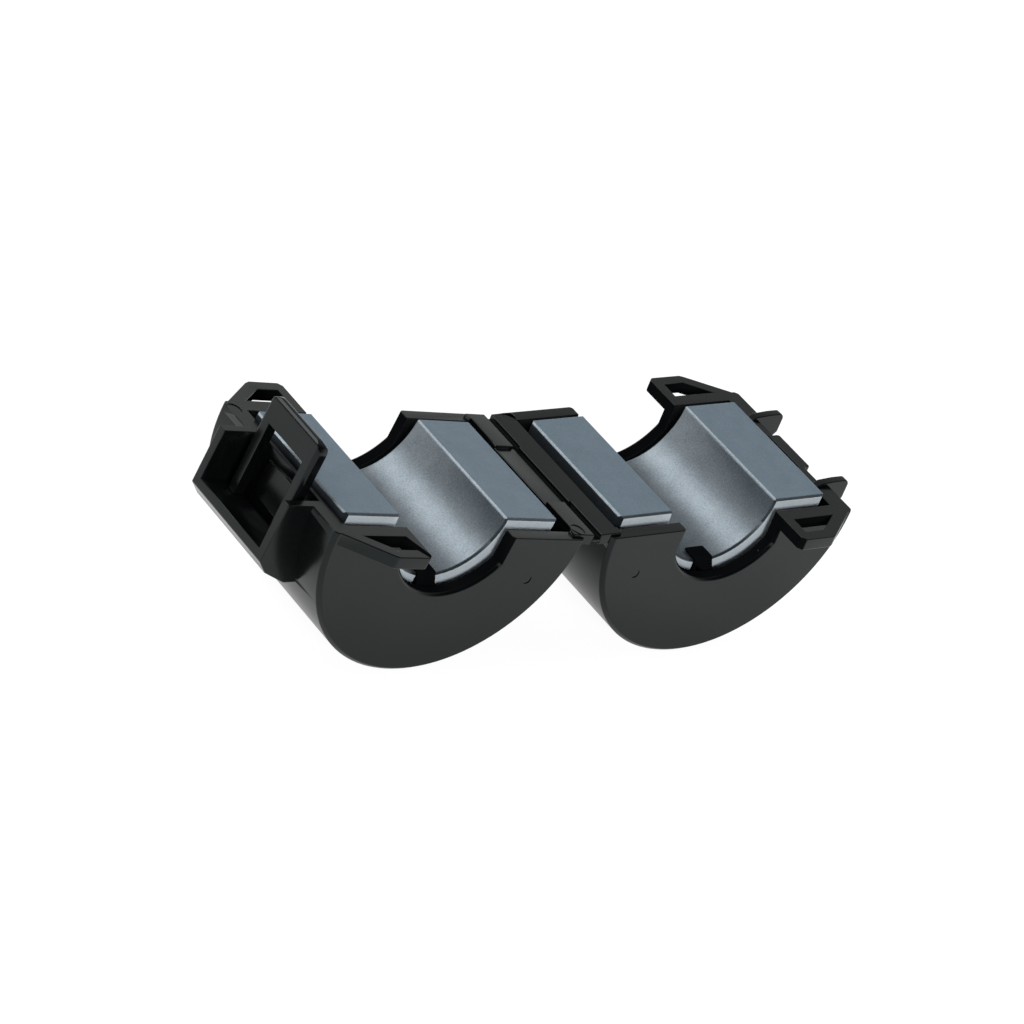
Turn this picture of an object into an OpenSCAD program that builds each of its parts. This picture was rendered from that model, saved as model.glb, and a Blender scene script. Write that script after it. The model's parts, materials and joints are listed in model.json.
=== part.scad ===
// Clip-on ferrite bead for round cable, shown hinged open.
// Frame: X across (latch half at -X, catch half at +X), Y along the cable,
// Z up, Z = 0 is the table. The halves turn about a line along Y at X = 0.
// Each half is drawn in its own frame: x outward from the bore's axis,
// y along the bore, z = 0 on the ferrite's mating face.

/* [Ferrite half cores] */
// length of the ferrite along the cable
core_len = 30.2; // [20:0.1:45]
// width of the ferrite across its two flats
core_w = 51.2; // [46:0.1:54]
// radius of the bore for the cable
bore_r = 12.7; // [9:0.1:14]
// radius of the ferrite's round back
core_r = 27.7; // [26.5:0.1:27.8]
// bevel round the mating face and the bore's edges
core_bevel = 0.4; // [0.2:0.05:0.8]
// bevel down the core's upright corners
core_corner = 0.8; // [0.5:0.1:2]

/* [Case halves] */
// thickness of the case wall round the ferrite's back
shell_wall = 2; // [1.5:0.1:4]
// room at each end of the ferrite
end_gap = 1.6; // [0.8:0.1:6]
// thickness of each end wall
end_wall = 2.6; // [1.5:0.1:2.8]
// how far the rim lies below the mating face
rim_drop = 1.2; // [0.6:0.1:2]
// bevel round the case's ends
shell_bevel = 0.7; // [0.2:0.1:1.2]
// radius of the cut-out in each end wall
cutout_r = 13.9; // [13.5:0.1:15]
// half width of the cut-out between its upright sides
cutout_half = 12; // [11:0.1:12.6]
// room behind the core's round back
seat_gap = 0.3; // [0.2:0.05:0.5]
// gap beside the core's outer flat
flat_gap = 0.35; // [0.2:0.05:0.5]
// bevel on the cut-outs' outer edge
cutout_bevel = 0.5; // [0.1:0.1:0.8]

/* [Retaining hooks] */
// width of each hook across the bore
hook_w = 4.4; // [3:0.1:6]
// how far a hook stands into the bore
hook_stand = 0.9; // [0.6:0.1:1.6]
// how far a hook reaches over the ferrite
hook_reach = 3.1; // [1.5:0.1:4]
// gap between hook and ferrite
hook_gap = 0.12; // [0.05:0.01:0.3]
// thickness of a hook's foot below the cut-out
hook_foot = 0.9; // [0.6:0.1:1.5]

/* [Cable tie eyes] */
// reach of the eye beyond the end wall
eye_reach = 6.5; // [4:0.1:9]
// width of the eye's tip
eye_tip = 8.2; // [5:0.1:9]
// thickness of the eye plate
eye_t = 2.5; // [1.6:0.1:3.2]
// width of the bar round the eye's hole
eye_bar = 2.4; // [1.5:0.1:2.6]
// width of the eye's outer side where it meets the end wall
eye_root = 6; // [4:0.1:8]
// cut on the eye's outer corners
eye_corner = 0.8; // [0.3:0.1:1.2]

/* [Hinge] */
// how far the hinge line lies beyond the drum's side
lip_reach = 3.2; // [2.6:0.1:6]
// tilt of each half in the open rest
half_tilt = 3.9; // [2:0.1:6]
// half width of the groove at the hinge's ends
groove_half = 0.8; // [0.6:0.05:1.2]
// half width of the groove in the middle
fold_half = 0.35; // [0.3:0.05:0.6]
// thickness of the film across the groove
film_t = 0.4; // [0.25:0.05:0.5]
// depth of the groove down to the film
film_depth = 1.1; // [0.6:0.05:1.3]
// how far the hinge lips lie below the mating face
lip_drop = 0.6; // [0.4:0.05:0.8]
// thickness of the hinge lips
lip_t = 2.2; // [1.8:0.1:2.6]
// how far the hinge stops short of the case's ends
hinge_short = 0.8; // [0.3:0.1:4]
// length of the middle part of the hinge
step_len = 16.8; // [10:0.1:20]
// drop of the latch half's lip along that part
step_depth = 0.6; // [0.2:0.05:0.8]

/* [Latch] */
// width of the loop along the case
loop_w = 16; // [13:0.1:18]
// width of each of the loop's rails
rail_w = 2.5; // [1.8:0.1:3]
// thickness of the loop
loop_t = 2.4; // [1.8:0.1:2.8]
// how far the loop's outer face stands beyond the drum's side
loop_reach = 1.2; // [0.8:0.1:1.6]
// top of the loop above the mating face
loop_top = 8.9; // [7:0.1:10]
// height of the loop's cross bar
bar_h = 5.2; // [3:0.1:6]
// gap between the loop and the catch face
catch_gap = 0.2; // [0.1:0.05:0.4]
// how far the guard walls stand out beyond the drum's side
guard_reach = 5.6; // [4:0.1:7]
// thickness of the guard walls
guard_t = 1.8; // [1.2:0.1:2.4]
// gap between guard wall and loop
guard_gap = 1.9; // [1:0.1:2.5]
// width of the panel behind the loop
panel_w = 10; // [6:0.1:12]
// how far the panel stands proud
panel_proud = 0.4; // [0.2:0.1:0.6]
// depth of the panel's top below the mating face
panel_top = 3.3; // [2:0.1:5]
// room between the loop and the wall behind it
flex_gap = 1.5; // [1:0.1:2.5]
// bottom of the guard box below the mating face
guard_low = 13.3; // [12:0.1:16]
// thickness of the guard box's floor at its edge
floor_t = 1.8; // [1.2:0.1:2.5]
// drop of the guard box's sloping underside
gusset_drop = 4.4; // [3:0.1:6]
// radius of the loop's upper corners
loop_corner = 2.3; // [0.8:0.1:2.5]
// bevel on the loop's face edges
loop_bevel = 0.6; // [0.2:0.05:0.8]
// lead-in along the loop's inner upper edge
loop_lead = 1; // [0.6:0.1:1.3]

/* [Catch] */
// length of the catch ridge
ridge_len = 10.4; // [8:0.1:10.6]
// how far the ridge hooks under the loop
ridge_bite = 1.9; // [0.8:0.1:2.1]
// height of the ridge's sloped upper edge
ridge_slope = 0.6; // [0.4:0.1:1.2]
// radius of the ridge's upright outer corners
ridge_round = 1.5; // [0.5:0.1:1.8]
// gap between the loop's inner face and the catch half's wall
wall_gap = 0.3; // [0.2:0.05:0.5]
// length of the slot behind the ridge
slot_len = 9.6; // [6:0.1:10.2]
// width of the slot behind the ridge
slot_w = 1.8; // [1:0.1:2.2]
// depth of the slot behind the ridge
slot_depth = 5; // [3:0.1:8]
// how far the fins stand out beyond the drum's side
fin_reach = 4.9; // [4:0.1:7]
// thickness of the fins
fin_t = 1.6; // [1.2:0.1:2.2]
// how far the fins' crest rises above the rim
fin_crest = 1; // [0.3:0.1:1.2]
// radius of the fins' round tips
fin_round = 1.2; // [0.6:0.1:2]
// height of the fins' tips
fin_tip = 3.2; // [2.4:0.1:4]
// drop of the fins' sloping underside
fin_slope = 6.5; // [4:0.1:8]
// height of the fins at their root
fin_root = 12; // [10:0.1:13]

/* [Small marks] */
// radius of the ejector marks on the rims
mark_r = 1.5; // [1:0.1:2.2]
// depth of the marks
mark_depth = 0.15; // [0.05:0.05:0.3]
// distance of the marks from the rim's side
mark_side = 1.2; // [0.8:0.1:2]
// distance of the marks from the case's end
mark_end = 2.4; // [1.8:0.1:4]
// radius of the gate marks on the case's ends
gate_r = 0.9; // [0.5:0.1:1.5]
// distance of the gate marks from the bore's axis
gate_x = 20.6; // [17:0.1:24]
// depth of the gate marks below the mating face
gate_drop = 10.3; // [8:0.1:14]

/* [Hidden] */
$fn = 96;
eps = 0.01;
big = 200;
plastic = "#3b3d3f";
ferrite = "#74797c";
half_core = core_w / 2;
seat_r = core_r + seat_gap;
shell_r = seat_r + shell_wall;
seat_len = core_len + 2 * end_gap;
shell_len = seat_len + 2 * end_wall;
wall_y = shell_len / 2;
hinge_arm = shell_r + lip_reach;
// the table touches both round backs
hinge_z = shell_r - hinge_arm * sin(half_tilt) + rim_drop * cos(half_tilt);
hinge_len = shell_len - 2 * hinge_short;
lip_z = -lip_drop;
lip_x = hinge_arm - groove_half;
loop_out = shell_r + loop_reach;
loop_in = loop_out - loop_t;
window_top = loop_top - bar_h;
guard_y = loop_w / 2 + guard_gap;
guard_out = shell_r + guard_reach;
floor_top = -guard_low + floor_t;
latch_wall = loop_in - flex_gap;
catch_wall = loop_in - wall_gap;
fin_out = shell_r + fin_reach;
ridge_out = loop_in + ridge_bite;
ridge_low = -window_top + catch_gap;
drain_in = latch_wall;
drain_out = loop_in - 0.2;
drain_len = loop_w - 2 * rail_w - 1;
hook_start = -cutout_r - 0.3;

// ---------- placing ----------

// put a half's own frame into the part's frame: side -1 is the latch half
module place(side) {
    translate([0, 0, hinge_z]) mirror([side < 0 ? 1 : 0, 0, 0])
        rotate([0, -half_tilt, 0]) translate([hinge_arm, 0, 0]) children();
}

// draw a shape given across x and z, and push it along y from y0 to y1
module along_y(y0, y1) {
    translate([0, y1, 0]) rotate([90, 0, 0]) linear_extrude(y1 - y0) children();
}

// a box given by its two corners
module block(a, b) { translate(a) cube(b - a); }

// both ends or both sides of the case
module both_ends() { for (e = [0, 1]) mirror([0, e, 0]) children(); }
module both_sides() { for (e = [0, 1]) mirror([e, 0, 0]) children(); }

// a round bar along y with bevelled ends
module drum(r, len, b) {
    rotate([90, 0, 0]) rotate_extrude()
        polygon([[0, -len / 2], [r - b, -len / 2], [r, -len / 2 + b],
                 [r, len / 2 - b], [r - b, len / 2], [0, len / 2]]);
}

// ---------- ferrite ----------

// half core: round back, two flats, half bore and plain bevels
module half_core_body() {
    difference() {
        along_y(-core_len / 2, core_len / 2) intersection() {
            circle(core_r);
            polygon([[-half_core, -big], [-half_core, -core_bevel],
                     [-half_core + core_bevel, 0], [half_core - core_bevel, 0],
                     [half_core, -core_bevel], [half_core, -big]]);
        }
        rotate([90, 0, 0]) cylinder(h = big, r = bore_r, center = true);
        // bevel round the bore's ends
        both_ends() translate([0, -core_len / 2 - eps, 0]) rotate([-90, 0, 0])
            cylinder(h = core_bevel + eps, r1 = bore_r + core_bevel + eps, r2 = bore_r);
        // bevel along the mating face's ends
        both_ends() translate([0, core_len / 2, 0]) rotate([45, 0, 0])
            cube([big, core_bevel * sqrt(2), core_bevel * sqrt(2)], center = true);
        // bevel down the upright corners
        both_ends() both_sides() translate([half_core, core_len / 2, 0]) rotate([0, 0, 45])
            cube([core_corner * sqrt(2), core_corner * sqrt(2), big], center = true);
        // bevel along the bore's long edges
        both_sides() translate([bore_r, 0, 0]) rotate([0, 45, 0])
            cube([core_bevel * sqrt(2), big, core_bevel * sqrt(2)], center = true);
    }
}

// ---------- case ----------

// half drum below the rim
module half_drum() {
    intersection() {
        translate([0, 0, -rim_drop]) drum(shell_r, shell_len, shell_bevel);
        block([-big, -big, -big], [big, big, -rim_drop]);
    }
}

// room for the core, open at the top and close to the core's outer flat
module core_seat() {
    along_y(-seat_len / 2, seat_len / 2) intersection() {
        circle(seat_r);
        translate([-big, -big]) square([big + half_core + flat_gap, big + 1]);
    }
}

// cut-outs for the cable in both end walls: round below, upright at the sides
module cable_cutouts() {
    mouth_y = wall_y + eps;
    neck_y = wall_y - cutout_bevel;
    mouth_x = cutout_half + cutout_bevel + eps;
    intersection() {
        union() {
            rotate([90, 0, 0]) cylinder(h = big, r = cutout_r, center = true);
            both_ends() translate([0, -mouth_y, 0]) rotate([-90, 0, 0])
                cylinder(h = cutout_bevel + eps, r1 = cutout_r + cutout_bevel + eps, r2 = cutout_r);
        }
        translate([0, 0, -big / 2]) linear_extrude(big)
            polygon([[-mouth_x, -mouth_y], [mouth_x, -mouth_y], [cutout_half, -neck_y],
                     [cutout_half, neck_y], [mouth_x, mouth_y], [-mouth_x, mouth_y],
                     [-cutout_half, neck_y], [-cutout_half, -neck_y]]);
    }
}

// eye plate for a cable tie, at the outer corner of one end
module eye_plate() {
    tip_y = wall_y + eye_reach;
    tip_x = cutout_half + eye_tip;
    root_x = shell_r - shell_bevel - 0.6;
    // inner side lines up with the cut-out, outer side runs back to the end wall
    translate([0, 0, -rim_drop - eye_t]) linear_extrude(eye_t)
        polygon([[cutout_half, wall_y - end_wall / 2], [cutout_half, tip_y - eye_corner],
                 [cutout_half + eye_corner, tip_y], [tip_x - eye_corner / 2, tip_y],
                 [tip_x + eye_corner / 2, tip_y - eye_corner / 2], [root_x, wall_y],
                 [root_x, wall_y - end_wall / 2]]);
}

// the eye's hole, the same shape inside its bars
module eye_hole() {
    in_x = cutout_half + eye_bar;
    tip_x = cutout_half + eye_tip - eye_bar / 2;
    tip_y = wall_y + eye_reach - eye_bar;
    low_y = wall_y + 0.4;
    translate([0, 0, -rim_drop - eye_t - 0.5]) linear_extrude(eye_t + 1)
        polygon([[in_x, low_y], [in_x, tip_y], [tip_x, tip_y], [shell_r - eye_root, low_y]]);
}

// hook that holds the core down at the middle of one end wall (front):
// it slopes up from the cut-out's surface and reaches over the bore's edge
module core_hook() {
    top = -bore_r + hook_stand;
    foot = hook_start - hook_foot;
    wall_in = -wall_y + end_wall;
    rise_end = -core_len / 2 - 0.2;
    tip = -core_len / 2 + hook_reach;
    difference() {
        translate([-hook_w / 2, 0, 0]) rotate([90, 0, 90]) linear_extrude(hook_w)
            polygon([[wall_in - end_wall / 3, foot], [wall_in - end_wall / 3, hook_start],
                     [wall_in, hook_start], [rise_end, top], [tip, top], [tip, foot]]);
        // room for the core and its bore
        difference() {
            along_y(-core_len / 2 - hook_gap, core_len / 2) circle(core_r);
            rotate([90, 0, 0])
                cylinder(h = big, r = bore_r - hook_gap, center = true);
        }
    }
}

// lip that carries the film hinge; the groove is narrow in the middle
module hinge_lip() {
    block([-lip_x, -hinge_len / 2, lip_z - lip_t], [-seat_r + 0.5, hinge_len / 2, lip_z]);
    block([-hinge_arm + fold_half, -step_len / 2, lip_z - lip_t],
          [-lip_x + eps, step_len / 2, lip_z]);
}

// shallow round marks left by the mould's ejector pins, each at [x, y, level]
module ejector_marks(spots) {
    for (s = spots) translate([s[0], s[1], s[2] - mark_depth])
        cylinder(h = 1, r = mark_r, $fn = 48);
}

// round mark left by the mould's gate on the front end, beside the hinge
module gate_mark() {
    translate([-gate_x, mark_depth - wall_y, -gate_drop]) rotate([90, 0, 0])
        cylinder(h = 1, r = gate_r, $fn = 48);
}

// what both halves share
module case_half(marks) {
    difference() {
        union() {
            difference() {
                half_drum();
                cable_cutouts();
            }
            both_ends() eye_plate();
            hinge_lip();
            children();
        }
        core_seat();
        both_ends() eye_hole();
        ejector_marks(marks);
        gate_mark();
    }
    both_ends() core_hook();
}

// guard box round the latch loop: two side walls and a floor
module guard_wall() { along_y(guard_y, guard_y + guard_t) guard_section(-rim_drop); }

module guard_floor() { along_y(-guard_y - eps, guard_y + eps) guard_section(floor_top); }

// outline of the box across x and z up to a given height; its underside slopes to the drum
module guard_section(top) {
    low = -guard_low - gusset_drop;
    polygon([[half_core + 1, top], [guard_out, top], [guard_out, -guard_low],
             [guard_out - 2.4, -guard_low - 2.4], [shell_r - 2, low], [half_core - 3, low + 0.4],
             [half_core - 1, -guard_low]]);
}

// ---------- sub-parts ----------

module base_shell() {
    color(plastic) place(-1) difference() {
        case_half([[-seat_r - mark_side, -wall_y + mark_end, lip_z],
                   [shell_r - mark_side, wall_y - mark_end, -rim_drop]]) {
            both_ends() guard_wall();
            guard_floor();
        }
        // flat wall behind the loop, with a panel that stands slightly proud
        difference() {
            block([latch_wall, -guard_y, floor_top], [big, guard_y, big]);
            block([0, -panel_w / 2, -guard_low],
                  [latch_wall + panel_proud, panel_w / 2, -panel_top]);
        }
        // opening in the floor behind the loop
        block([drain_in, -drain_len / 2, -big], [drain_out, drain_len / 2, floor_top + 1]);
        // shallow step in the middle of the hinge lip
        block([-hinge_arm, -step_len / 2, lip_z - step_depth], [0, step_len / 2, big]);
    }
}

// fin beside the loop's path: its crest rises from the rim to a round tip
module fin() {
    crest = -rim_drop + fin_crest;
    along_y(guard_y, guard_y + fin_t) {
        polygon([[half_core + 1, -rim_drop], [half_core + 2.2, crest - 0.3], [shell_r + 1.2, crest],
                 [fin_out - fin_round, crest], [fin_out - fin_round, crest - fin_round],
                 [fin_out, crest - fin_round], [fin_out, -rim_drop - fin_tip],
                 [shell_r - 0.5, -rim_drop - fin_tip - fin_slope],
                 [half_core, -rim_drop - fin_root]]);
        translate([fin_out - fin_round, crest - fin_round]) circle(fin_round, $fn = 48);
    }
}

// ridge that the loop snaps over, with a sloped upper edge and round upright corners
module catch_ridge() {
    root = catch_wall - 1;
    intersection() {
        along_y(-ridge_len / 2, ridge_len / 2)
            polygon([[root, -rim_drop], [ridge_out - 1.3 * ridge_slope, -rim_drop],
                     [ridge_out, -rim_drop - ridge_slope], [ridge_out, ridge_low],
                     [root, ridge_low]]);
        translate([0, 0, ridge_low]) linear_extrude(-rim_drop - ridge_low)
            round_plate([root, -ridge_len / 2], [ridge_out, ridge_len / 2], ridge_round);
    }
}

// rectangle given by two corners, with its two corners on the far x side rounded
module round_plate(a, b, r) {
    translate(a) square([b[0] - a[0] - r, b[1] - a[1]]);
    translate([a[0], a[1] + r]) square([b[0] - a[0], b[1] - a[1] - 2 * r]);
    for (y = [a[1] + r, b[1] - r]) translate([b[0] - r, y]) circle(r, $fn = 48);
}

module lid_shell() {
    color(plastic) place(1) {
        difference() {
            case_half([[-seat_r - mark_side, wall_y - mark_end, lip_z]]) both_ends() fin();
            // flat wall in the loop's path
            block([catch_wall, -guard_y, -guard_low], [big, guard_y, big]);
            // slot behind the ridge
            block([half_core - 1, -slot_len / 2, -rim_drop - slot_depth],
                  [half_core + slot_w, slot_len / 2, big]);
        }
        catch_ridge();
    }
}

// film hinge: a thin strip at the bottom of the groove between the two lips
module film_hinge() {
    color(plastic) translate([0, 0, hinge_z]) {
        along_y(-hinge_len / 2, hinge_len / 2) film_section(fold_half);
        both_ends() along_y(step_len / 2, hinge_len / 2) film_section(groove_half);
    }
}

// outline of the strip across x and z; its sides lie on the leaning lips' faces
module film_section(half) {
    top = film_edge(half, lip_z - film_depth);
    low = film_edge(half, lip_z - film_depth - film_t);
    polygon([[-top[0], top[1]], [-low[0], low[1]], low, top]);
}

// where a lip's face lies from the hinge line, at height z of its own half
function film_edge(half, z) = [half * cos(half_tilt) - z * sin(half_tilt),
                               half * sin(half_tilt) + z * cos(half_tilt)];

// latch loop: two rails and a cross bar standing on the guard box's floor
module latch_loop() {
    color(plastic) place(-1) difference() {
        translate([loop_in, 0, 0]) rotate([90, 0, 90]) linear_extrude(loop_t) loop_plate();
        // lead-in along the inner upper edge, and a bevel on the outer one
        translate([loop_in, 0, loop_top]) rotate([0, 45, 0])
            cube([loop_lead * sqrt(2), big, loop_lead * sqrt(2)], center = true);
        translate([loop_out, 0, loop_top]) rotate([0, 45, 0])
            cube([loop_bevel * sqrt(2), big, loop_bevel * sqrt(2)], center = true);
        // bevels down the outer edges
        both_ends() translate([loop_out, loop_w / 2, 0]) rotate([0, 0, 45])
            cube([loop_bevel * sqrt(2), loop_bevel * sqrt(2), big], center = true);
    }
}

// the loop's outline across y and z, with round upper corners
module loop_plate() {
    difference() {
        rotate(90) round_plate([floor_top, -loop_w / 2], [loop_top, loop_w / 2], loop_corner);
        translate([-loop_w / 2 + rail_w, floor_top - 1])
            square([loop_w - 2 * rail_w, window_top - floor_top + 1]);
    }
}

module base_core() { color(ferrite) place(-1) half_core_body(); }

module lid_core() { color(ferrite) place(1) half_core_body(); }

base_shell();
lid_shell();
film_hinge();
latch_loop();
base_core();
lid_core();
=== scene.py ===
"""Looks of the clip-on ferrite bead: case plastic, ferrite, edges, light and camera."""
import json
import math

import bmesh
import bpy
from mathutils import Matrix, Vector


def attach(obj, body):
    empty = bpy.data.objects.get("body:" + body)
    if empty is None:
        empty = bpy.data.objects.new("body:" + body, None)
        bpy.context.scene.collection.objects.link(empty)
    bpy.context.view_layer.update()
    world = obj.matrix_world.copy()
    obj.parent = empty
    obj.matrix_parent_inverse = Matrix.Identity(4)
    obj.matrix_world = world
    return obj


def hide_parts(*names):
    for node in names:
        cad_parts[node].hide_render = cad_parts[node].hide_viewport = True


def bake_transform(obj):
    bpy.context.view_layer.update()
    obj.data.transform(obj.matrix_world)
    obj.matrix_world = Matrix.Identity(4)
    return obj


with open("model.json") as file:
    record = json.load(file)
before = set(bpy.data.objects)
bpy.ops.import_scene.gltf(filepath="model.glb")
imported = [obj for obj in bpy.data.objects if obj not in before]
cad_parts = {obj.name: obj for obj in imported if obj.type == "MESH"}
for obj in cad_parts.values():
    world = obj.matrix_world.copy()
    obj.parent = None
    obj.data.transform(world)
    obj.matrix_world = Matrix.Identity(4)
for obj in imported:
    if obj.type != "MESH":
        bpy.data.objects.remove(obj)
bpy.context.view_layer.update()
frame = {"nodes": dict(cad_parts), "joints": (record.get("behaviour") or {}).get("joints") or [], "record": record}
MM = 0.001
scene = bpy.context.scene

# the lid's hinge line
hinge = Vector(next(j["pos_m"] for j in frame["joints"] if j["name"] == "lid_hinge"))
# how far each half leans towards the hinge
LEAN = math.radians(3.9)
# the middle of each half's bore, on its mating face, and the middle of each tie eye's hole
mounts = {m["name"]: Vector(m["pos_m"]) for m in frame["record"]["mounts"]}
bore = {name.split("_")[0]: place for name, place in mounts.items() if "cable_seat" in name}
eyes = [place for name, place in mounts.items() if name.startswith("tie_eye")]

# corners nearer than this are one, and faces that differ by less than this are one flat
MERGE, FLAT = 0.001 * MM, math.radians(0.3)
# an outward edge sharper than this is rounded; one that is less sharp is smooth
SHARP = math.radians(28)
# widths of the rounding on the edges of the case, the film and the cores
CASE_EDGE, FILM_EDGE, CORE_EDGE = 0.2 * MM, 0.05 * MM, 0.12 * MM
# the most that a rounding takes of the length of a side that leaves the edge's end
SIDE_SHARE = 0.4
# the cut-outs and the hooks, which get painted shade (a black with no shine), lie within these distances of the
# bore's axis
CUT_OUT, HOOKS = 14.2 * MM, 13.6 * MM
# both lie further than this from the middle of the length
END_ZONE = 11 * MM
# the inside of a tie eye's hole, also painted shade, lies within this of its middle
EYE_HOLE = 6 * MM
# a core's mating faces lie above this height, measured from the bore's axis, and the bottom
# of its bore below it
LANDS_FROM = -2 * MM
# the film bends over this much on each side of the hinge line, at these lines across it
FILM_HALF = 0.35 * MM
FOLDS = [FILM_HALF * step / 4 for step in range(-4, 5)]
# how well two directions agree, as their dot product, from the same way down to square
SAME, ALONG, NEAR, TOWARDS, SQUARE = 0.999, 0.9, 0.8, 0.5, 0.3


# ---------- small helpers ----------

def linear(code):
    """An sRGB hex colour as linear RGBA."""
    parts = [int(code[i:i + 2], 16) / 255 for i in (1, 3, 5)]
    return [p / 12.92 if p <= 0.04045 else ((p + 0.055) / 1.055) ** 2.4 for p in parts] + [1]


def add(tree, kind, settings=None, links=None, **attributes):
    """A node of a kind, with its socket values, its incoming links and its own settings."""
    node = tree.nodes.new("ShaderNode" + kind)
    for name, value in attributes.items():
        setattr(node, name, value)
    for name, value in (settings or {}).items():
        node.inputs[name].default_value = value
    for name, source in (links or {}).items():
        tree.links.new(source, node.inputs[name])
    return node


def ramp(node, stops):
    """Sets a colour ramp's stops, each a place and a hex colour, and gives its output."""
    elements = node.color_ramp.elements
    while len(elements) < len(stops):
        elements.new(0.5)
    for element, (place, shade) in zip(elements, stops):
        element.position = place
        element.color = linear(shade)
    return node.outputs["Color"]


def new_material(name):
    """An empty node material, its tree and its output node."""
    made = bpy.data.materials.new(name)
    made.use_nodes = True
    made.node_tree.nodes.clear()
    return made, made.node_tree, add(made.node_tree, "OutputMaterial")


# ---------- materials ----------

def moulded_black_nylon(name, shades, gloss, level):
    """Injection-moulded black nylon: near black with a polished sheen, the slight waves of cooling on its flats, a
    fine grain in the gloss and a few pale specks of dust. It takes its two shades, the range of its roughness and
    the level of its shine. A level of 0 takes the shine away, for painted shade: a black with no reflection, put
    round the hooks and the cut-outs and in the eye holes, where they lie in shade."""
    made, tree, out = new_material(name)
    place = add(tree, "TexCoord").outputs["Object"]
    # grain of the mould's skin: about 0.3 mm
    grain = add(tree, "TexNoise", {"Scale": 1 / (0.3 * MM), "Detail": 2, "Roughness": 0.6},
                {"Vector": place})
    # waves left by uneven cooling, about 9 mm apart
    waves = add(tree, "TexNoise", {"Scale": 1 / (9 * MM), "Detail": 1}, {"Vector": place})
    # dust: cells 2 mm wide, with a speck in the middle of a few of them
    cells = add(tree, "TexVoronoi", {"Scale": 1 / (2 * MM)}, {"Vector": place})
    few = add(tree, "Math", {1: 0.9}, {0: cells.outputs["Color"]}, operation="GREATER_THAN")
    near = add(tree, "Math", {1: 0.06}, {0: cells.outputs["Distance"]}, operation="LESS_THAN")
    speck = add(tree, "Math", {}, {0: few.outputs[0], 1: near.outputs[0]}, operation="MULTIPLY")
    tint = ramp(add(tree, "ValToRGB", {}, {"Fac": waves.outputs["Fac"]}),
                [(0.3, shades[0]), (0.7, shades[1])])
    colour = add(tree, "Mix", {"B": linear("#4a4c4e")}, {"Factor": speck.outputs[0], "A": tint},
                 data_type="RGBA")
    sheen = add(tree, "MapRange", {"To Min": gloss[0], "To Max": gloss[1]},
                {"Value": grain.outputs["Fac"]})
    skin = add(tree, "Bump", {"Strength": 0.2, "Distance": 0.006 * MM},
               {"Height": grain.outputs["Fac"]})
    flow = add(tree, "Bump", {"Strength": 0.3, "Distance": 0.04 * MM},
               {"Height": waves.outputs["Fac"], "Normal": skin.outputs["Normal"]})
    shader = add(tree, "BsdfPrincipled",
                 {"IOR": 1.5, "Specular IOR Level": level, "Specular Tint": linear("#f2ffff")},
                 {"Base Color": colour.outputs["Result"], "Roughness": sheen.outputs["Result"],
                  "Normal": flow.outputs["Normal"]})
    tree.links.new(shader.outputs["BSDF"], out.inputs["Surface"])
    return made


def sintered_ferrite(name, shades, gloss, metal):
    """Sintered ferrite: a dense blue-grey ceramic with a dull metallic lustre, grains of about 0.3 mm from
    pressing and cloudy shades about 4 mm wide. It takes the dark and light shade of the grains, the range of its
    roughness and how metallic it is."""
    made, tree, out = new_material(name)
    place = add(tree, "TexCoord").outputs["Object"]
    grain = add(tree, "TexNoise", {"Scale": 1 / (0.3 * MM), "Detail": 3, "Roughness": 0.7},
                {"Vector": place})
    cloud = add(tree, "TexNoise", {"Scale": 1 / (4 * MM), "Detail": 3}, {"Vector": place})
    spread = add(tree, "Mix", {"Factor": 0.25}, {"A": grain.outputs["Fac"],
                                                 "B": cloud.outputs["Fac"]}, data_type="FLOAT")
    colour = ramp(add(tree, "ValToRGB", {}, {"Fac": spread.outputs["Result"]}),
                  [(0.36, shades[0]), (0.64, shades[1])])
    sheen = add(tree, "MapRange", {"To Min": gloss[0], "To Max": gloss[1]},
                {"Value": grain.outputs["Fac"]})
    skin = add(tree, "Bump", {"Strength": 0.4, "Distance": 0.02 * MM},
               {"Height": grain.outputs["Fac"]})
    shader = add(tree, "BsdfPrincipled", {"Metallic": metal, "IOR": 1.6},
                 {"Base Color": colour, "Roughness": sheen.outputs["Result"],
                  "Normal": skin.outputs["Normal"]})
    tree.links.new(shader.outputs["BSDF"], out.inputs["Surface"])
    return made


def white_table():
    """White card. Seen directly it glows almost white, with the object's faint shadow; in a
    gloss it glows less and shows more of how it is lit, so it is darker under the object; the
    light that it throws back is only what falls on it."""
    seen_glow, gloss_glow = 0.93, 0.38
    made, tree, out = new_material("white_card")
    path = add(tree, "LightPath")
    seen = add(tree, "Math", {}, {0: path.outputs["Is Camera Ray"],
                                  1: path.outputs["Is Transmission Ray"]}, operation="MAXIMUM")
    shade = add(tree, "Mix", {"A": linear("#e4e4e4"), "B": linear("#6e6e6e")},
                {"Factor": seen.outputs[0]}, data_type="RGBA")
    mirrored = add(tree, "Math", {1: gloss_glow}, {0: path.outputs["Is Glossy Ray"]},
                   operation="MULTIPLY")
    plain = add(tree, "Math", {1: seen_glow}, {0: seen.outputs[0]}, operation="MULTIPLY")
    glow = add(tree, "Math", {}, {0: plain.outputs[0], 1: mirrored.outputs[0]},
               operation="MAXIMUM")
    card = add(tree, "BsdfDiffuse", {}, {"Color": shade.outputs["Result"]})
    light = add(tree, "Emission", {"Color": (1, 1, 1, 1)}, {"Strength": glow.outputs[0]})
    both = add(tree, "AddShader", {}, {0: card.outputs[0], 1: light.outputs[0]})
    tree.links.new(both.outputs[0], out.inputs["Surface"])
    return made


# ---------- pieces ----------

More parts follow.
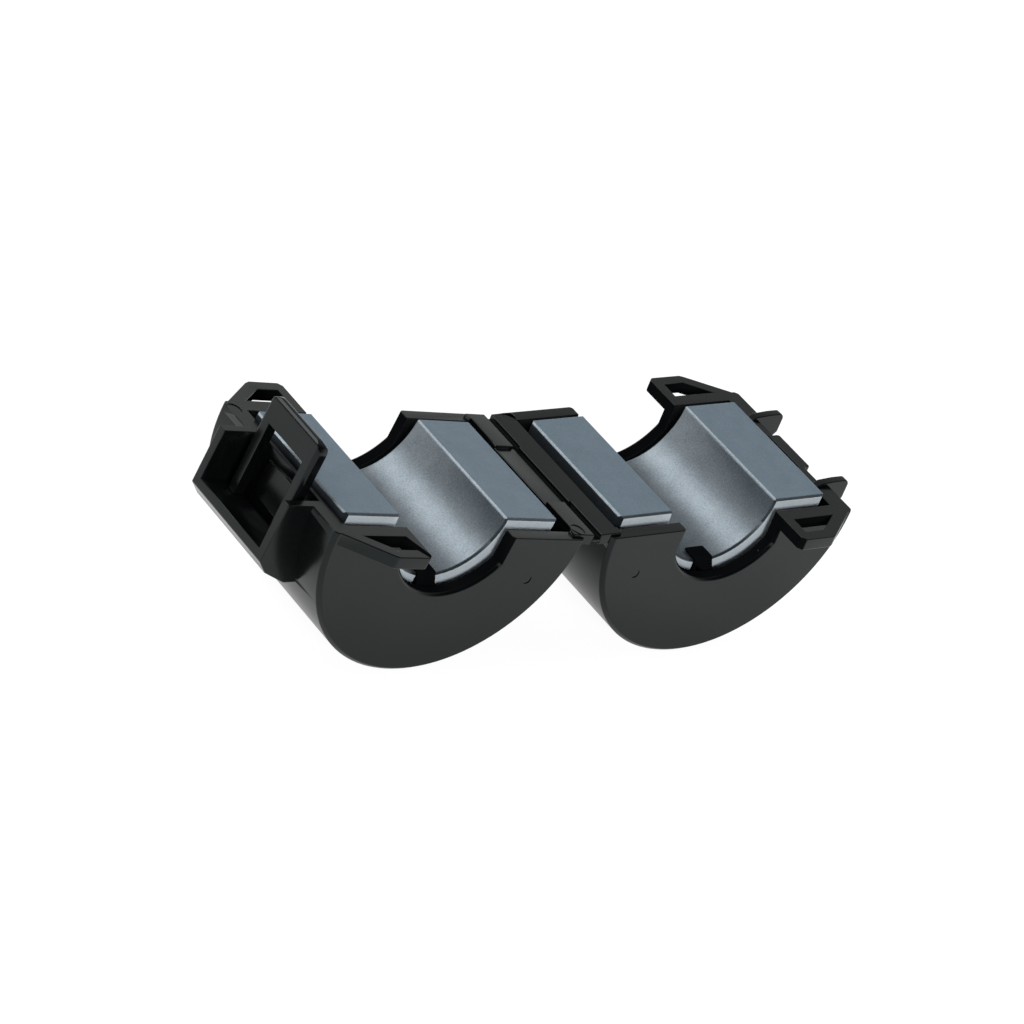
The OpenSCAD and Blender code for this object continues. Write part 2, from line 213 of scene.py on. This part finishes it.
def bevel_share(edge, width):
    """How much of the bevel's width an edge takes: none on a hollow or soft edge, and less
    where a short side leaves its ends, so that a bevel never runs past the face beside it."""
    if len(edge.link_faces) != 2 or not edge.is_convex or edge.calc_face_angle() < SHARP:
        return 0
    beside = [e for v in edge.verts for e in v.link_edges
              if e != edge and (not e.is_convex or e.calc_face_angle(0) < SHARP)]
    return min([1] + [SIDE_SHARE * e.calc_length() / width for e in beside])


def lean_up(node):
    """The direction square to a half's mating face, which leans towards the hinge."""
    side = 1 if node.startswith("lid") else -1
    return Vector((-side * math.sin(LEAN), 0, math.cos(LEAN)))


def core_finish(face, node):
    """A core face's finish: 1 on the ground mating faces, 2 on the ends, painted paler as painted light, 3 on the
    long outer sides, painted darker as painted shade, 0 elsewhere."""
    up = lean_up(node)
    place = face.calc_center_median() - bore[node.split("_")[0]]
    if face.normal.dot(up) > SAME and place.dot(up) > LANDS_FROM:
        return 1
    if abs(face.normal.y) > SAME:
        return 2
    outward = face.normal.dot(place) > 0
    return 3 if outward and abs(face.normal.dot(up)) < SQUARE else 0


def case_finish(face, node):
    """A case face's finish: 1 round a cable cut-out, on its hook and in a tie eye's hole, where the painted shade
    goes, 0 elsewhere."""
    place = face.calc_center_median()
    for eye in eyes:
        inward = eye - place
        if inward.length < EYE_HOLE and face.normal.dot(inward.normalized()) > TOWARDS:
            return 1 if abs(face.normal.dot(lean_up(node))) < SQUARE else 0
    inward = bore[node.split("_")[0]] - place
    inward.y = 0
    if inward.length > CUT_OUT or abs(place.y) < END_ZONE or abs(face.normal.y) > ALONG:
        return 0
    return 1 if inward.length < HOOKS or face.normal.dot(inward.normalized()) > NEAR else 0


def merged_form(node):
    """The CAD node's triangles merged into one closed form, with the flat faces joined. The
    film also gets lines along it, for it to bend at."""
    form = bmesh.new()
    form.from_mesh(frame["nodes"][node].data)
    bmesh.ops.remove_doubles(form, verts=form.verts, dist=MERGE)
    bmesh.ops.dissolve_limit(form, angle_limit=FLAT, verts=form.verts, edges=form.edges,
                             use_dissolve_boundaries=False)
    lines = FOLDS if node == "film_hinge" else []
    for across in lines:
        bmesh.ops.bisect_plane(form, geom=form.verts[:] + form.edges[:] + form.faces[:],
                               plane_co=(across, 0, 0), plane_no=(1, 0, 0))
    return form


def move_with(piece, node):
    """The film stays where it lies, its placing baked into its form; each other piece rides on the body that its
    node belongs to."""
    if node == "film_hinge":
        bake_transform(piece)
    else:
        bodies = frame["record"]["behaviour"]["bodies"]
        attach(piece, next(body for body, nodes in bodies.items() if node in nodes))


def finished(node, materials, width):
    """The CAD node's own form with its sharp outward edges rounded by a narrow bevel. Where
    there is more than one material, each face takes one by its finish."""
    finish = core_finish if "core" in node else case_finish
    form = merged_form(node)
    share = form.edges.layers.float.new("bevel_weight_edge")
    for edge in form.edges:
        edge[share] = bevel_share(edge, width)
        edge.smooth = edge.calc_face_angle(0) < SHARP or edge[share] > 0
    for face in form.faces:
        face.smooth = True
        if len(materials) > 1:
            face.material_index = finish(face, node)
    mesh = bpy.data.meshes.new(node + "_form")
    form.to_mesh(mesh)
    form.free()
    piece = bpy.data.objects.new(node + "_finished", mesh)
    scene.collection.objects.link(piece)
    for material in materials:
        mesh.materials.append(material)
    bevel = piece.modifiers.new("edges", "BEVEL")
    bevel.width, bevel.segments, bevel.limit_method = width, 2, "WEIGHT"
    bevel.use_clamp_overlap = False
    bevel.miter_outer = "MITER_ARC"
    flat = piece.modifiers.new("flat_faces", "WEIGHTED_NORMAL")
    flat.weight, flat.keep_sharp = 100, True
    move_with(piece, node)
    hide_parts(node)


nylon = moulded_black_nylon("moulded_black_nylon", ("#050606", "#08090a"), (0.16, 0.24), 0.25)
# painted shade: black with no shine round the cut-outs and hooks and in the eye holes, as dark as the shade there
painted_shade_matt = moulded_black_nylon("moulded_black_nylon_painted_shade", ("#070809", "#0c0d0e"), (0.5, 0.6), 0)
# the bore and back are as fired and the mating faces ground flat; the ends are painted paler, as painted light
# from the front, and the long outer sides are painted darker, as painted shade
fired = sintered_ferrite("sintered_ferrite_fired", ("#676f75", "#838c92"), (0.42, 0.48), 0.95)
ground = sintered_ferrite("sintered_ferrite_ground", ("#768793", "#8799a7"), (0.5, 0.6), 0.8)
# painted light: the ends' pale shades stand in for the front light falling on them
painted_lit_ends = sintered_ferrite("sintered_ferrite_painted_lit_ends", ("#b5c0c7", "#c6d0d6"), (0.5, 0.6), 0.1)
# painted shade: the outer sides' dark shades stand in for the shade and dark reflections there
painted_shade_flank = sintered_ferrite("sintered_ferrite_painted_shade_flank", ("#33393d", "#454c51"), (0.5, 0.6), 0.8)
for node in ("base_shell", "lid_shell"):
    finished(node, [nylon, painted_shade_matt], CASE_EDGE)
finished("latch_loop", [nylon], CASE_EDGE)
finished("film_hinge", [nylon], FILM_EDGE)
for node in ("base_core", "lid_core"):
    finished(node, [fired, ground, painted_lit_ends, painted_shade_flank], CORE_EDGE)


# ---------- table, light, camera ----------

def card_table():
    """A flat square of white card under the object, much wider than the view."""
    mesh = bpy.data.meshes.new("card_table")
    half = 3.0
    corners = [(-half, -half, 0), (half, -half, 0), (half, half, 0), (-half, half, 0)]
    mesh.from_pydata(corners, [], [(0, 1, 2, 3)])
    table = bpy.data.objects.new("card_table", mesh)
    mesh.materials.append(white_table())
    scene.collection.objects.link(table)


def white_room():
    """A white studio with a dark patch high at the front. Seen directly it is plain white all
    round; a gloss shows it white low down, dimmer higher up and dark at the patch; the light
    that it gives is weaker, and comes from everywhere but the patch."""
    as_light, high_up, at_patch = 0.65, 0.47, 0.03
    world = bpy.data.worlds.new("white_room")
    scene.world = world
    world.use_nodes = True
    tree = world.node_tree
    tree.nodes.clear()
    way = add(tree, "TexCoord").outputs["Generated"]
    front = add(tree, "VectorMath", {1: Vector((0, -0.8, 0.6))}, {0: way},
                operation="DOT_PRODUCT")
    lit = add(tree, "MapRange", {"From Min": 0.5, "From Max": 0.8, "To Min": 1,
                                 "To Max": at_patch}, {"Value": front.outputs["Value"]},
              interpolation_type="SMOOTHSTEP")
    path = add(tree, "LightPath")
    height = add(tree, "SeparateXYZ", {}, {"Vector": way})
    overhead = add(tree, "MapRange", {"From Min": 0.2, "From Max": 0.45, "To Min": 1,
                                      "To Max": high_up}, {"Value": height.outputs["Z"]},
                   interpolation_type="SMOOTHSTEP")
    shine = add(tree, "Mix", {"A": as_light}, {"Factor": path.outputs["Is Glossy Ray"],
                                               "B": overhead.outputs["Result"]},
                data_type="FLOAT")
    room = add(tree, "Math", {}, {0: lit.outputs["Result"], 1: shine.outputs["Result"]},
               operation="MULTIPLY")
    plain = add(tree, "Math", {}, {0: path.outputs["Is Camera Ray"],
                                   1: path.outputs["Is Transmission Ray"]}, operation="MAXIMUM")
    level = add(tree, "Math", {}, {0: room.outputs[0], 1: plain.outputs[0]}, operation="MAXIMUM")
    air = add(tree, "Background", {"Color": (1, 1, 1, 1)}, {"Strength": level.outputs[0]})
    out = add(tree, "OutputWorld")
    tree.links.new(air.outputs[0], out.inputs["Surface"])


def far_softbox(name, toward, spread, strength, shines=True):
    """A soft light from far away: its direction, how wide it looks in degrees, its strength,
    and whether a gloss shows it."""
    lamp = bpy.data.lights.new(name, "SUN")
    lamp.angle, lamp.energy = math.radians(spread), strength
    stand = bpy.data.objects.new(name, lamp)
    scene.collection.objects.link(stand)
    way = Vector(toward).normalized()
    stand.location = hinge + way
    stand.rotation_euler = way.to_track_quat("Z", "Y").to_euler()
    stand.visible_glossy = shines


def camera():
    """A long lens, looking from the front left and above, and turned about its own axis."""
    azimuth, elevation, roll = (math.radians(a) for a in (-48.736, 27.192, 25.642))
    distance = 803.19 * MM
    back = Vector((math.sin(azimuth) * math.cos(elevation),
                   -math.cos(azimuth) * math.cos(elevation), math.sin(elevation)))
    right = (-back).cross(Vector((0, 0, 1))).normalized()
    up = right.cross(-back)
    across = right * math.cos(roll) + up * math.sin(roll)
    above = up * math.cos(roll) - right * math.sin(roll)
    lens = bpy.data.cameras.new("camera")
    # both in millimetres
    lens.sensor_width, lens.lens = 36, 154.7015625
    lens.shift_x, lens.shift_y = -0.0308, -0.0397
    lens.clip_start, lens.clip_end = 0.05, 20
    eye = bpy.data.objects.new("camera", lens)
    eye.matrix_world = Matrix.Translation(hinge + back * distance) @ Matrix(
        (across, above, back)).transposed().to_4x4()
    scene.collection.objects.link(eye)
    scene.camera = eye


card_table()
white_room()
far_softbox("back_left_softbox", (-0.41, 0.587, 0.70), 38, 1.2)
far_softbox("low_front_softbox", (-0.45, -0.8, 0.35), 20, 2.6, shines=False)
camera()
scene.view_settings.view_transform = "Standard"
